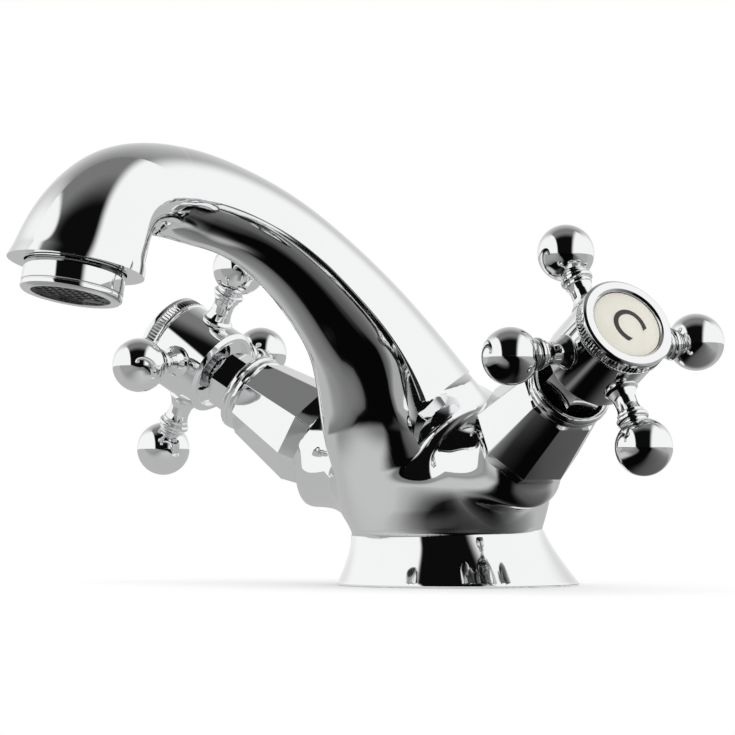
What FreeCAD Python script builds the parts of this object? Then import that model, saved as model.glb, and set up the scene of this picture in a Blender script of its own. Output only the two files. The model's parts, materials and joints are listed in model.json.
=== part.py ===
import FreeCAD, Part
import math
import os

# Basin mixer with an arched fixed spout and two cross handles.
# Millimetres and degrees. The origin is the centre of the base on the basin deck,
# +Z is up, the spout points to -Y and the cold side is +X.

# Fits and cuts
overrun = 2.0
thread_gap = 0.05
running_gap = 0.05
seal_gap = 0.02

# Flared base on the deck
base_d = 55.0
base_lip_h = 1.6
flare_top_h = 17.0
flare_top_share = 0.796
flare_forward = 3.9
flare_rise_shares = (0.0, 0.25, 0.58, 1.0)
flare_waist_shares = (0.0, 0.41, 0.75, 1.0)
flare_forward_shares = (0.0, 0.28, 0.59, 1.0)

# Deck seal in the underside
seal_edge = 3.0
seal_w = 3.0
seal_h = 2.0

# Inlets and fixing stud hole in the underside, at their tapping sizes
inlet_d = 9.0
inlet_depth = 11.0
stud_d = 6.8
stud_depth = 14.0
stud_back = 9.0
feed_d = 6.5
feed_along = 10.0

# Valve axes: they start at a common root on the middle plane
valve_rise_deg = 30.0
valve_lean_deg = 14.5
root_forward = 4.05
root_h = 13.5

# Core of the body and the two valve arms
core_share = 0.818
core_flat_share = 0.889
core_mid_h = 20.0
arm_wall = 2.0
arm_merge_inset = 0.8
arm_waist_share = 0.62
arm_waist_up = 14.5
arm_waist_side = 12.6
arm_waist_lift = 2.2
saddle_half_depth = 21.5
saddle_half_h = 22.0
saddle_mid_h = 22.0

# Valve bore in the arm, and the duct that joins both bores
bore_d = 17.6
bore_floor = 15.0
cross_duct_d = 7.0
cross_duct_rise = 7.0
cross_duct_bite_share = 0.25

# Arched spout: stations on the middle plane, as shares of the reach and the crest
# height, with the half width, dome height and keel depth as shares of spout_half_w
spout_reach = 113.0
spout_crest_h = 95.2
spout_half_w = 9.2
spout_forward_shares = (0.062, 0.158, 0.205, 0.273, 0.362, 0.498, 0.616, 0.724, 0.832, 0.925, 0.975, 0.995)
spout_rise_shares = (0.210, 0.381, 0.486, 0.598, 0.691, 0.799, 0.855, 0.884, 0.888, 0.851, 0.785, 0.728)
spout_width_shares = (2.20, 1.96, 1.62, 1.28, 1.10, 0.98, 0.97, 1.03, 1.13, 1.22, 1.24, 1.20)
spout_dome_shares = (2.40, 2.20, 1.77, 1.38, 1.15, 1.01, 1.01, 1.08, 1.14, 1.22, 1.24, 1.20)
spout_keel_shares = (2.23, 2.05, 1.70, 1.36, 1.14, 1.00, 1.00, 1.06, 1.00, 0.90, 0.87, 0.87)
waterway_d = 11.5

# Nose at the end of the spout, measured up its own axis from the rim
nose_rim_share = 0.7143
nose_tilt_deg = 12.9
nose_rim_w = 3.8
nose_h = 16.5
nose_sweep_deg = 14.0
nose_height_shares = (0.0, 0.30, 0.60, 0.84, 1.0)
nose_radius_shares = (1.0, 0.952, 0.877, 0.73, 0.50)
nose_funnel_h = 5.5

# Aerator in the nose
aerator_d = 21.6
aerator_drop = 6.2
aerator_wall = 1.7
aerator_lip_w = 0.7
aerator_lip_h = 1.0
aerator_edge = 0.6
insert_h = 8.0
insert_rim_w = 0.9
insert_cell_d = 1.7
insert_pitch = 2.1
screen_h = 0.6
screen_hole_d = 1.3
screen_room = 1.3
washer_h = 1.5
washer_w = 2.6

# Shut-off discs and their seal, from the bore's floor upwards
seat_seal_h = 2.2
seat_seal_w = 1.2
disc_gap = 0.3
disc_h = 3.0
port_inner_share = 0.30
port_outer_share = 0.80
port_deg = 70.0
tongue_w = 2.6
tongue_h = 1.2

# Valve headwork
skirt_lift = 2.5
skirt_gap = 0.5
skirt_wall = 1.2
window_h = 4.0
window_w = 7.0
skirt_crown_h = 1.8
land_lip_h = 1.2
bonnet_seal_w = 1.6
bonnet_seal_depth = 1.3
bonnet_thread_h = 4.2
bonnet_flange_lap = 0.7
bonnet_flange_h = 1.6
hex_sides = 6
bonnet_nut_share = 0.842
bonnet_nut_h = 4.4
bonnet_neck_share = 0.95
bonnet_collar_lap = 0.25
bonnet_hex_w = 12.6
bonnet_hex_h = 10.6
bonnet_proud = 6.2
bonnet_edge = 0.5

# Eight-sided valve shroud
shroud_sides = 8
shroud_flange_room = 0.2
shroud_foot_wall = 0.7
shroud_chamfer_w = 1.1
shroud_chamfer_h = 3.6
shroud_taper_h = 18.4
shroud_nut_room = 0.4
shroud_cone_h = 3.6
shroud_web_h = 3.0
shroud_mouth_gap = 0.625
shroud_mouth_wall = 0.5
shroud_rim_lap = 1.0
shroud_rim_rise = 2.4
shroud_rim_h = 3.2
shroud_rim_round = 1.2

# Spindle
foot_gap = 0.4
spindle_foot_h = 5.0
spindle_d = 8.0
spline_step = 0.4
spline_count = 20
spline_depth = 0.35
spindle_top_gap = 0.2
ring_lift = 2.0
ring_w = 1.8
ring_depth = 1.2
clip_h = 0.9
clip_w = 1.8
clip_groove = 0.9
clip_gap_w = 4.0

# Hub of the cross handle
handle_gap = 1.4
hub_d = 20.4
hub_edge = 0.8
hub_recess_share = 0.814
hub_recess_h = 1.2
hub_socket_h = 9.6
hub_web_h = 2.4
hub_crown_h = 1.6
hub_shoulder = 1.5
spigot_h = 2.0
screw_d = 4.0
screw_head_d = 7.0
screw_head_h = 2.6
screw_head_gap = 0.3
screw_reach = 9.0
screw_end_gap = 1.2
screw_slot_w = 1.1
screw_slot_h = 1.2

# Handle arms: turned pieces along a radius of the hub
handle_turn_deg = 5.0
arm_count = 4
arm_height_share = 0.522
arm_seat_sink = 0.9
arm_reach = 14.75
ball_d = 12.3
flange_d = 7.4
flange_h = 1.3
flange_gap = 0.2
neck_d = 4.7
neck_root_d = 5.8
neck_end_d = 5.2
collar_d = 7.0
collar_h = 1.4
collar_lip_d = 5.9
collar_lip_h = 0.7
arm_spigot_d = 4.0
arm_spigot_h = 3.0

# Index ring and disc on the handle
index_ring_proud = 0.4
index_ring_h = 4.3
index_ring_edge = 0.7
knurl_count = 84
knurl_depth = 0.3
index_disc_ledge = 0.8
index_disc_h = 2.2
index_disc_crown = 0.4

# Diameters that follow from these
arm_end_d = bore_d + 2 * arm_wall
land_d = bore_d - 2 * thread_gap
skirt_d = bore_d - 2 * skirt_gap
skirt_bore_d = skirt_d - 2 * skirt_wall
disc_d = skirt_bore_d - 2 * disc_gap
bonnet_flange_d = bore_d + 2 * bonnet_flange_lap
bonnet_hex_d = bonnet_hex_w / math.cos(math.pi / hex_sides)
bonnet_collar_d = bonnet_hex_d + 2 * bonnet_collar_lap
shroud_cavity_d = bonnet_flange_d + 2 * shroud_flange_room
shroud_foot_w = shroud_cavity_d + 2 * shroud_foot_wall
shroud_mouth_d = bonnet_hex_d + 2 * shroud_mouth_gap
shroud_top_w = shroud_mouth_d + 2 * shroud_mouth_wall
spline_d = spindle_d - 2 * spline_step
spigot_d = hub_d - 2 * hub_shoulder
index_disc_d = spigot_d - 2 * index_disc_ledge
aerator_bore_d = aerator_d - 2 * aerator_wall

# Places along a valve's axis, from its root
fixed_disc_along = bore_floor + seat_seal_h
moving_disc_along = fixed_disc_along + disc_h
foot_along = moving_disc_along + disc_h
foot_top_along = foot_along + spindle_foot_h
land_along = foot_top_along + skirt_crown_h
bonnet_seal_along = land_along + land_lip_h
arm_length = bonnet_seal_along + bonnet_seal_w + bonnet_thread_h
nut_along = arm_length + bonnet_flange_h
nut_top_along = nut_along + bonnet_nut_h
shroud_wide_along = arm_length + shroud_chamfer_h
shroud_top_along = shroud_wide_along + shroud_taper_h
shroud_rim_top_along = shroud_top_along + shroud_rim_rise
shroud_cone_along = nut_top_along + shroud_nut_room
shroud_web_along = shroud_cone_along + shroud_cone_h
shroud_web_top_along = shroud_web_along + shroud_web_h
ring_along = shroud_web_top_along + ring_lift
bonnet_top_along = shroud_rim_top_along + bonnet_proud
bonnet_hex_along = bonnet_top_along - bonnet_hex_h
clip_along = bonnet_top_along + running_gap
hub_foot_along = bonnet_top_along + handle_gap
hub_web_along = hub_foot_along + hub_socket_h
hub_seat_along = hub_web_along + hub_web_h
hub_top_along = hub_seat_along + hub_crown_h
spigot_top_along = hub_top_along + spigot_h
arm_along = hub_foot_along + arm_height_share * (hub_top_along - hub_foot_along)
flange_seat = hub_d / 2 - arm_seat_sink
ball_reach = flange_seat + arm_reach

# Places along the nose's axis, from its rim
nose_rim_h = nose_rim_share * spout_crest_h
aerator_foot = -aerator_drop
aerator_seat = aerator_foot + aerator_lip_h
screen_along = aerator_seat + insert_h
washer_along = screen_along + screen_h + screen_room
nose_bore_depth = washer_along + washer_h


def vec(x, y, z):
    return FreeCAD.Vector(x, y, z)


origin = vec(0, 0, 0)
across = vec(1, 0, 0)
forward = vec(0, -1, 0)
up = vec(0, 0, 1)
sides = {"cold": 1, "hot": -1}


# Shapes about the Z axis of the bench

# Solid of revolution from (radius, height) points
def turned(points):
    outline = [vec(r, 0, z) for r, z in points]
    face = Part.Face(Part.makePolygon(outline + outline[:1]))
    return face.revolve(origin, up, 360)


def rod(d, low, high):
    return Part.makeCylinder(d / 2, high - low, vec(0, 0, low))


def tube(outer_d, inner_d, low, high):
    return rod(outer_d, low, high).cut(rod(inner_d, low - overrun, high + overrun))


# Regular prism with flats square to X and Y
def prism_wire(width, count, height):
    corner = width / 2 / math.cos(math.pi / count)
    points = []
    for i in range(count):
        angle = (2 * i + 1) * math.pi / count
        points.append(vec(corner * math.cos(angle), corner * math.sin(angle), height))
    return Part.makePolygon(points + points[:1])


def prism(width, count, low, high):
    return Part.Face(prism_wire(width, count, low)).extrude(vec(0, 0, high - low))


# Round bar with equal V-shaped teeth along it
def toothed(outer_d, depth, count, low, high):
    points = []
    for i in range(2 * count):
        r = outer_d / 2 - depth * (i % 2)
        angle = math.pi * i / count
        points.append(vec(r * math.cos(angle), r * math.sin(angle), low))
    return Part.Face(Part.makePolygon(points + points[:1])).extrude(vec(0, 0, high - low))


def level_ring(centre, r):
    return Part.Wire(Part.Circle(centre, up, r).toShape())


# Closed smooth ring through points on an ellipse
def oval_wire(centre, first, second, first_r, second_r, steps=16):
    points = []
    for i in range(steps):
        angle = 2 * math.pi * i / steps
        points.append(centre + first * (first_r * math.cos(angle)) + second * (second_r * math.sin(angle)))
    curve = Part.BSplineCurve()
    curve.interpolate(points, PeriodicFlag=True)
    return Part.Wire(curve.toShape())


# Smooth open curve through points
def curve_through(points):
    curve = Part.BSplineCurve()
    curve.interpolate(points)
    return curve


# Directions of a valve: along its axis, up across it, and to the front across it
def valve_axis(side):
    rise = math.radians(valve_rise_deg)
    lean = math.radians(valve_lean_deg)
    level = math.cos(rise)
    return vec(side * level * math.cos(lean), -level * math.sin(lean), math.sin(rise))


def valve_up(side):
    along = valve_axis(side)
    return (up - along * up.dot(along)).normalize()


def valve_front(side):
    return valve_axis(side).cross(valve_up(side)) * side


root = vec(0, -root_forward, root_h)


def on_valve(side, distance):
    return root + valve_axis(side) * distance


# Carries a piece from the bench to its place on a valve's axis
def to_valve(shape, side, turn_deg=0):
    x, z = valve_up(side), valve_axis(side)
    y = z.cross(x)
    rows = [(x.x, y.x, z.x, root.x), (x.y, y.y, z.y, root.y), (x.z, y.z, z.z, root.z), (0, 0, 0, 1)]
    placed = shape.copy()
    placed.rotate(origin, up, turn_deg)
    placed.transformShape(FreeCAD.Matrix(*[value for row in rows for value in row]), True)
    return placed


# Carries a piece from the bench to the nose, whose axis points up out of the rim's centre
def to_nose(shape):
    placed = shape.copy()
    placed.rotate(origin, across, -nose_tilt_deg)
    placed.translate(vec(0, -spout_reach, nose_rim_h))
    return placed


# Body casting

def base_flare():
    wires = []
    for rise, waist, ahead in zip(flare_rise_shares, flare_waist_shares, flare_forward_shares):
        z = base_lip_h + rise * (flare_top_h - base_lip_h)
        r = base_d / 2 * (1 - waist * (1 - flare_top_share))
        wires.append(level_ring(vec(0, -ahead * flare_forward, z), r))
    return Part.makeLoft(wires, True).fuse(rod(base_d, 0, base_lip_h))


# Rounded core over the flare, an ellipsoid about an upright axis
def core():
    core_r = core_share * base_d / 2
    crown = vec(0, 0, core_flat_share * core_r)
    oval = Part.Ellipse(vec(core_r, 0, 0), crown, origin)
    half_oval = Part.ArcOfEllipse(oval, -math.pi / 2, math.pi / 2).toShape()
    axis_line = Part.makeLine(half_oval.lastVertex().Point, half_oval.firstVertex().Point)
    solid = Part.Face(Part.Wire([half_oval, axis_line])).revolve(origin, up, 360)
    solid.translate(vec(0, -flare_forward, core_mid_h))
    return solid


# Saddle that carries both arms, lofted from one arm's end to the other's
def saddle():
    wires = {}
    for side in sides.values():
        directions = valve_up(side), valve_front(side)
        merge_r = arm_end_d / 2 - arm_merge_inset
        end = oval_wire(on_valve(side, arm_length), *directions, merge_r, merge_r)
        middle = on_valve(side, arm_waist_share * arm_length) + valve_up(side) * arm_waist_lift
        wires[side] = [end, oval_wire(middle, *directions, arm_waist_up, arm_waist_side)]
    middle = oval_wire(
        vec(0, -flare_forward, saddle_mid_h), up, forward, saddle_half_h, saddle_half_depth
    )
    return Part.makeLoft(wires[1] + [middle] + wires[-1][::-1], True)


def arm_sleeve(side):
    return to_valve(rod(arm_end_d, feed_along, arm_length), side)


def spout_points():
    places = zip(spout_forward_shares, spout_rise_shares)
    return [vec(0, -ahead * spout_reach, rise * spout_crest_h) for ahead, rise in places]


# Headings of a smooth line at its own points
def headings(points):
    line = curve_through(points)
    return [line.tangent(line.parameter(point))[0] for point in points]


# Two arcs that meet in a crease on each side: the dome above and the keel below
def spout_section(centre, heading, half_w, dome, keel):
    rise = heading.cross(across)
    left, right = centre - across * half_w, centre + across * half_w
    over = Part.Arc(left, centre + rise * dome, right).toShape()
    under = Part.Arc(right, centre - rise * keel, left).toShape()
    return Part.Wire([over, under])


def spout_arch():
    wires = []
    shares = zip(spout_width_shares, spout_dome_shares, spout_keel_shares)
    for centre, heading, station in zip(spout_points(), headings(spout_points()), shares):
        wires.append(spout_section(centre, heading, *[share * spout_half_w for share in station]))
    return Part.makeLoft(wires, True)


# Rings that narrow upwards and sweep back into the spout
def nose():
    wires = []
    for height, radius in zip(nose_height_shares, nose_radius_shares):
        z, r = height * nose_h, radius * (aerator_d / 2 + nose_rim_w)
        back = z * math.tan(math.radians(nose_sweep_deg))
        wires.append(level_ring(vec(0, back, z), r))
    return to_nose(Part.makeLoft(wires, True))


# Waterways

def cross_duct_end(side):
    reach = bore_d / 2 - cross_duct_bite_share * cross_duct_d
    return on_valve(side, bore_floor + cross_duct_rise) + valve_up(side) * reach


def cross_duct():
    cold, hot = (cross_duct_end(side) for side in sides.values())
    return Part.makeCylinder(cross_duct_d / 2, (cold - hot).Length, hot, cold - hot)


# From the middle of the cross duct along the spout into the nose
def waterway():
    duct = cross_duct_end(1)
    centres = [vec(0, duct.y, duct.z)] + spout_points()[1:-2]
    wires = []
    for centre, heading in zip(centres, headings(centres)):
        wires.append(oval_wire(centre, across, heading.cross(across), waterway_d / 2, waterway_d / 2))
    return Part.makeLoft(wires, True)


def nose_cavity():
    funnel_top = nose_bore_depth + nose_funnel_h
    bore = rod(aerator_d + 2 * thread_gap, -overrun, nose_bore_depth)
    mouth_r = aerator_d / 2 - washer_w
    funnel = Part.makeCone(mouth_r, waterway_d / 2, nose_funnel_h, vec(0, 0, nose_bore_depth))
    tip = Part.makeSphere(waterway_d / 2, vec(0, 0, funnel_top))
    return to_nose(bore.fuse([funnel, tip]))


# Headwork bore, seat feed and threaded inlet of one valve
def valve_bores(side):
    elbow = on_valve(side, feed_along)
    foot = vec(elbow.x, elbow.y, 0)
    bore = to_valve(rod(bore_d, bore_floor, arm_length + overrun), side)
    seat = to_valve(rod(feed_d, feed_along, bore_floor + overrun), side)
    feed = Part.makeCylinder(feed_d / 2, elbow.z, foot)
    bend = Part.makeSphere(feed_d / 2, elbow)
    inlet = Part.makeCylinder(inlet_d / 2, inlet_depth + overrun, foot - up * overrun)
    return bore.fuse([seat, feed, bend, inlet])


# Deck seal's ring, or its groove, up to the groove's roof
def seal_ring(low, gap):
    outer_d = base_d - 2 * seal_edge
    return tube(outer_d - 2 * gap, outer_d - 2 * seal_w + 2 * gap, low, seal_h)


def mixer_body():
    solid = base_flare()
    for lump in [core(), saddle(), spout_arch(), nose()] + [arm_sleeve(side) for side in sides.values()]:
        solid = solid.fuse(lump)
    groove = seal_ring(-overrun, 0)
    stud = Part.makeCylinder(stud_d / 2, stud_depth + overrun, vec(0, stud_back, -overrun))
    below_deck = rod(2 * base_d, -base_d, 0)
    cuts = [waterway(), cross_duct(), nose_cavity(), groove, stud, below_deck]
    return solid.cut(cuts + [valve_bores(side) for side in sides.values()])


def base_seal():
    return seal_ring(0, seal_gap)


# Aerator, measured up the nose's axis from the rim

def aerator_housing():
    r = aerator_d / 2
    bore_r = aerator_bore_d / 2
    lip_r = bore_r - aerator_lip_w
    outline = [
        (lip_r, aerator_foot),
        (r - aerator_edge, aerator_foot),
        (r, aerator_foot + aerator_edge),
        (r, washer_along),
        (bore_r, washer_along),
        (bore_r, aerator_seat),
        (lip_r, aerator_seat),
    ]
    return turned(outline)


# Round holes on a triangular grid within a radius
def grid_holes(hole_d, pitch, within_r, low, high):
    row_step = pitch * math.sin(math.pi / 3)
    rows = int(within_r / row_step) + 1
    columns = int(within_r / pitch) + 1
    holes = []
    for row in range(-rows, rows + 1):
        for column in range(-columns, columns + 1):
            x = pitch * (column + (row % 2) / 2)
            y = row_step * row
            if math.hypot(x, y) + hole_d / 2 <= within_r:
                hole = rod(hole_d, low - overrun, high + overrun)
                hole.translate(vec(x, y, 0))
                holes.append(hole)
    return holes


def perforated_disc(hole_d, low, high):
    d = aerator_bore_d - 2 * thread_gap
    within_r = d / 2 - insert_rim_w
    return rod(d, low, high).cut(grid_holes(hole_d, insert_pitch, within_r, low, high))


def aerator_insert():
    return perforated_disc(insert_cell_d, aerator_seat, screen_along)


def aerator_screen():
    return perforated_disc(screen_hole_d, screen_along, screen_along + screen_h)


def aerator_washer():
    return tube(aerator_d, aerator_d - 2 * washer_w, washer_along, nose_bore_depth)


# Valve, measured along its axis from the root

# Tapered eight-sided cover with a chamfered foot and a round rolled rim at its mouth
def shroud():
    foot = prism_wire(shroud_foot_w, shroud_sides, arm_length)
    wide = prism_wire(shroud_foot_w + 2 * shroud_chamfer_w, shroud_sides, shroud_wide_along)
    top = prism_wire(shroud_top_w, shroud_sides, shroud_top_along)
    shell = Part.makeLoft([foot, wide], True, True).fuse(Part.makeLoft([wide, top], True, True))
    rim_d = shroud_top_w + 2 * shroud_rim_lap
    rim = rod(rim_d, shroud_rim_top_along - shroud_rim_h, shroud_rim_top_along)
    shell = shell.fuse(rim.makeFillet(shroud_rim_round, rim.Edges))
    web_bore_d = bonnet_collar_d + 2 * thread_gap
    cone = Part.makeCone(shroud_cavity_d / 2, web_bore_d / 2, shroud_cone_h, vec(0, 0, shroud_cone_along))
    cuts = [
        rod(shroud_cavity_d, arm_length - overrun, shroud_cone_along),
        cone,
        rod(web_bore_d, shroud_web_along - overrun, shroud_web_top_along + overrun),
        rod(shroud_mouth_d, shroud_web_top_along, shroud_rim_top_along + overrun),
    ]
    return shell.cut(cuts)


# Headwork: skirt with side windows, sealing land, flange and nut, neck, upper hexagon
def bonnet():
    foot = bore_floor + skirt_lift
    solid = rod(skirt_d, foot, land_along).fuse(
        [
            rod(land_d, land_along, arm_length),
            rod(bonnet_flange_d, arm_length, nut_along),
            prism(bonnet_nut_share * bonnet_flange_d, hex_sides, nut_along, nut_top_along),
            rod(bonnet_neck_share * bonnet_hex_w, nut_top_along, bonnet_hex_along),
            rod(bonnet_collar_d, shroud_web_along, shroud_web_top_along),
            bonnet_hexagon(),
        ]
    )
    seal_top = bonnet_seal_along + bonnet_seal_w
    window = Part.makeBox(2 * skirt_d, window_w, window_h, vec(-skirt_d, -window_w / 2, foot_along))
    cuts = [
        rod(skirt_bore_d, foot - overrun, foot_top_along + running_gap),
        rod(spindle_d + 2 * running_gap, foot_top_along, bonnet_top_along + overrun),
        tube(bore_d + overrun, land_d - 2 * bonnet_seal_depth, bonnet_seal_along, seal_top),
        window,
    ]
    return solid.cut(cuts)


# Hexagon with its top corners turned off
def bonnet_hexagon():
    hexagon = prism(bonnet_hex_w, hex_sides, bonnet_hex_along, bonnet_top_along)
    corner_r = bonnet_hex_d / 2
    dressed = turned(
        [
            (0, bonnet_hex_along),
            (corner_r, bonnet_hex_along),
            (corner_r, bonnet_top_along - bonnet_edge),
            (corner_r - bonnet_edge / math.tan(math.pi / hex_sides), bonnet_top_along),
            (0, bonnet_top_along),
        ]
    )
    return hexagon.common(dressed)


def bonnet_seal():
    inner_d = land_d - 2 * bonnet_seal_depth + 2 * seal_gap
    top = bonnet_seal_along + bonnet_seal_w
    return tube(bore_d - 2 * seal_gap, inner_d, bonnet_seal_along + seal_gap, top - seal_gap)


def seat_seal():
    return tube(disc_d, disc_d - 2 * seat_seal_w, bore_floor, fixed_disc_along)


# Ceramic disc with two opposite ports
def ported_disc(low, turn_deg):
    high = low + disc_h
    inner_d = port_inner_share * disc_d
    outer_r = port_outer_share * disc_d / 2
    foot = vec(0, 0, low - overrun)
    cuts = []
    for half_turn in (0, 180):
        sector = Part.makeCylinder(outer_r, disc_h + 2 * overrun, foot, up, port_deg)
        sector = sector.cut(rod(inner_d, low - 2 * overrun, high + 2 * overrun))
        sector.rotate(origin, up, turn_deg + half_turn - port_deg / 2)
        cuts.append(sector)
    return rod(disc_d, low, high).cut(cuts)


def fixed_disc():
    return ported_disc(fixed_disc_along, 0)


# The moving disc is closed at rest, a quarter turn from the fixed one, and has a drive slot
def moving_disc():
    slot_low = foot_along - tongue_h - running_gap
    slot_w = tongue_w + 2 * running_gap
    slot = Part.makeBox(2 * disc_d, slot_w, disc_h, vec(-disc_d, -slot_w / 2, slot_low))
    return ported_disc(moving_disc_along, 90).cut(slot)


# Spindle: tongue, foot, shaft with grooves for its ring and clip, splined end, tapped hole
def spindle():
    foot_d = skirt_bore_d - 2 * foot_gap
    top = hub_web_along - spindle_top_gap
    tongue_low = foot_along - tongue_h
    tongue = Part.makeBox(foot_d, tongue_w, tongue_h + overrun, vec(-foot_d / 2, -tongue_w / 2, tongue_low))
    solid = rod(foot_d, foot_along, foot_top_along).fuse(
        [
            tongue.common(rod(foot_d, foot_along - overrun, foot_along + overrun)),
            rod(spindle_d, foot_top_along, hub_foot_along),
            toothed(spline_d, spline_depth, spline_count, hub_foot_along, top),
        ]
    )
    cuts = [
        tube(spindle_d + overrun, spindle_d - 2 * ring_depth, ring_along, ring_along + ring_w),
        tube(spindle_d + overrun, spindle_d - 2 * clip_groove, clip_along, clip_along + clip_h),
        rod(screw_d, hub_web_along - screw_reach, top + overrun),
    ]
    return solid.cut(cuts)


def spindle_seal():
    inner_d = spindle_d - 2 * ring_depth + 2 * seal_gap
    outer_d = spindle_d + 2 * running_gap - 2 * seal_gap
    return tube(outer_d, inner_d, ring_along + seal_gap, ring_along + ring_w - seal_gap)


# Split ring in the spindle's groove, over the top of the headwork
def circlip():
    inner_d = spindle_d - 2 * clip_groove + 2 * seal_gap
    top = clip_along + clip_h
    ring = tube(inner_d + 2 * clip_w, inner_d, clip_along + seal_gap, top - seal_gap)
    gap = Part.makeBox(spindle_d, clip_gap_w, 2 * clip_h, vec(0, -clip_gap_w / 2, clip_along - clip_h / 2))
    return ring.cut(gap)


# Handle hub with flat seats and tapped holes for the arms
def hub():
    r = hub_d / 2
    outline = [
        (0, hub_foot_along),
        (r - hub_edge, hub_foot_along),
        (r, hub_foot_along + hub_edge),
        (r, hub_top_along),
        (spigot_d / 2, hub_top_along),
        (spigot_d / 2, spigot_top_along),
        (0, spigot_top_along),
    ]
    recess_d = hub_recess_share * hub_d
    socket_d = spline_d + 2 * thread_gap
    cuts = [
        rod(recess_d, hub_foot_along - overrun, hub_foot_along + hub_recess_h),
        toothed(socket_d, spline_depth, spline_count, hub_foot_along, hub_web_along),
        rod(screw_d + 2 * thread_gap, hub_web_along - overrun, hub_seat_along + overrun),
        rod(screw_head_d + 2 * screw_head_gap, hub_seat_along, spigot_top_along + overrun),
    ]
    for i in range(arm_count):
        seat = rod(flange_d + 2 * flange_gap, flange_seat, hub_d)
        hole = rod(arm_spigot_d + 2 * thread_gap, flange_seat - arm_spigot_h - flange_gap, hub_d)
        cuts.append(to_arm(seat.fuse(hole), i))
    return turned(outline).cut(cuts)


# Carries a piece turned about Z to one of the hub's arm places
def to_arm(shape, index):
    placed = shape.copy()
    placed.rotate(origin, vec(0, 1, 0), 90)
    placed.rotate(origin, up, 360 * index / arm_count)
    placed.translate(vec(0, 0, arm_along))
    return placed


# Turned arm: spigot, flange, waisted neck, collar between two lips, ball
def handle_arm(index):
    lip_r, ball_r = collar_lip_d / 2, ball_d / 2
    collar_top = ball_reach - math.sqrt(ball_r ** 2 - lip_r ** 2) - collar_lip_h
    collar_low = collar_top - collar_h
    neck_low, neck_top = flange_seat + flange_h, collar_low - collar_lip_h
    solid = Part.makeSphere(ball_r, vec(0, 0, ball_reach)).fuse(
        [
            rod(arm_spigot_d, flange_seat - arm_spigot_h, flange_seat),
            rod(flange_d, flange_seat, neck_low),
            waisted_neck(neck_low, neck_top),
            rod(collar_lip_d, neck_top, ball_reach),
            rod(collar_d, collar_low, collar_top),
        ]
    )
    return to_arm(solid, index)


def waisted_neck(low, high):
    root_edge = vec(neck_root_d / 2, 0, low)
    end_edge = vec(neck_end_d / 2, 0, high)
    waist = Part.Arc(root_edge, vec(neck_d / 2, 0, (low + high) / 2), end_edge).toShape()
    closing = Part.makePolygon([end_edge, vec(0, 0, high), vec(0, 0, low), root_edge])
    return Part.Face(Part.Wire([waist] + closing.Edges)).revolve(origin, up, 360)


# Knurled bezel, screwed on the hub's spigot, that holds the index disc
def index_ring():
    low, high = hub_top_along, hub_top_along + index_ring_h
    d = hub_d + 2 * index_ring_proud
    r = d / 2
    dressed = turned(
        [
            (0, low),
            (r - index_ring_edge, low),
            (r, low + index_ring_edge),
            (r, high - index_ring_edge),
            (r - index_ring_edge, high),
            (0, high),
        ]
    )
    ring = toothed(d, knurl_depth, knurl_count, low, high).common(dressed)
    thread = rod(spigot_d + 2 * thread_gap, low - overrun, spigot_top_along)
    return ring.cut([thread, rod(index_disc_d + 2 * thread_gap, low, high + overrun)])


# Ceramic disc with a slightly crowned face
def index_disc():
    top = spigot_top_along + index_disc_h
    r = index_disc_d / 2
    crown_r = (r ** 2 + index_disc_crown ** 2) / (2 * index_disc_crown)
    crown = Part.makeSphere(crown_r, vec(0, 0, top - crown_r))
    return rod(index_disc_d, spigot_top_along, top + overrun).common(crown)


def handle_screw():
    top = hub_seat_along + screw_head_h
    slot_corner = vec(-screw_head_d, -screw_slot_w / 2, top - screw_slot_h)
    slot = Part.makeBox(2 * screw_head_d, screw_slot_w, 2 * screw_slot_h, slot_corner)
    head = rod(screw_head_d, hub_seat_along, top).cut(slot)
    shank_low = hub_web_along - screw_reach + screw_end_gap
    return head.fuse(rod(screw_d - 2 * thread_gap, shank_low, hub_seat_along))


# Assembly: every piece by its name, in place

pieces = {"mixer_body": mixer_body(), "base_seal": base_seal()}
for maker in (aerator_housing, aerator_insert, aerator_screen, aerator_washer):
    pieces[maker.__name__] = to_nose(maker())
for name, side in sides.items():
    for maker in (shroud, bonnet, bonnet_seal, seat_seal, fixed_disc):
        pieces[f"{name}_{maker.__name__}"] = to_valve(maker(), side)
    turn = side * handle_turn_deg
    for maker in (moving_disc, spindle, spindle_seal, circlip, hub, index_ring, index_disc, handle_screw):
        pieces[f"{name}_{maker.__name__}"] = to_valve(maker(), side, turn)
    for i in range(arm_count):
        pieces[f"{name}_arm_{i + 1}"] = to_valve(handle_arm(i), side, turn)

os.makedirs("parts", exist_ok=True)
for name, shape in pieces.items():
    print(name, len(shape.Solids), round(shape.Volume), shape.isValid())
    shape.exportStep(f"parts/{name}.step")
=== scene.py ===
import json
import math

import bpy
import numpy as np
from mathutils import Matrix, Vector


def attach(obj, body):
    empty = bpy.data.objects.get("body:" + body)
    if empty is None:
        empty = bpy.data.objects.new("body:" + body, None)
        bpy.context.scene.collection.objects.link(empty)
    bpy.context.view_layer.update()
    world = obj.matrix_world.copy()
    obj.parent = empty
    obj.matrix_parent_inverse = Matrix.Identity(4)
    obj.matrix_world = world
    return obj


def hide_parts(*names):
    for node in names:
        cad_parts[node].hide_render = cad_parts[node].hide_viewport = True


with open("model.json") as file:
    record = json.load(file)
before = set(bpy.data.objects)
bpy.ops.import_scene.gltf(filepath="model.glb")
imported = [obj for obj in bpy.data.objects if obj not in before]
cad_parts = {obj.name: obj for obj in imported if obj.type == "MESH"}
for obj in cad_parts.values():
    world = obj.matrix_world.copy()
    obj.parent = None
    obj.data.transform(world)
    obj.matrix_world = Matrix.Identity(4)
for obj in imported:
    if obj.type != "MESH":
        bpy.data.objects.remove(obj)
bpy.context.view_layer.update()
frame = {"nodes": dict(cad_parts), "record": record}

mm = 0.001
nodes = frame["nodes"]
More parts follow.
